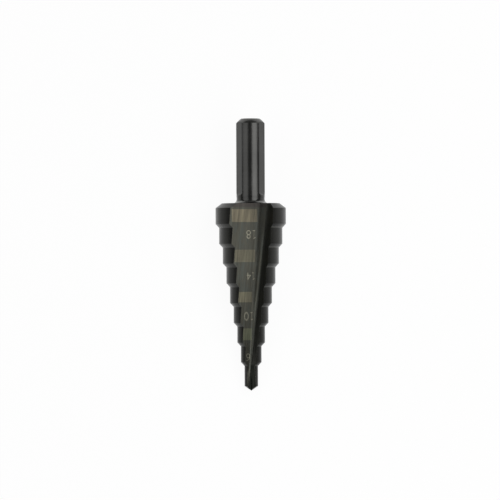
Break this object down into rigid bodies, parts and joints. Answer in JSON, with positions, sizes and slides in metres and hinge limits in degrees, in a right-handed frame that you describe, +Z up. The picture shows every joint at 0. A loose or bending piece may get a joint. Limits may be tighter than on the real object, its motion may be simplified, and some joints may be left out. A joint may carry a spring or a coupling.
{
  "type": "step drill",
  "caption": "Black oxide step drill for sheet metal: stepped conical head with straight tapering flutes, split point, and a round shank with flats for a three-jaw chuck.",
  "frame": {"origin": "centre of the bounding box's underside, on the surface that the drill lies on", "axes": "+Y towards the shank's end, the point towards -Y, +Z up; the drill lies on its side with its axis 8 degrees out of level, one flute facing up and one facing down"},
  "size_m": [0.0198, 0.0762, 0.0165],
  "materials": {
    "black_oxide_steel": "semi-gloss black oxide on ground steel"
  },
  "bodies": {
    "root": {"step_drill": "black_oxide_steel"}
  },
  "joints": []
}
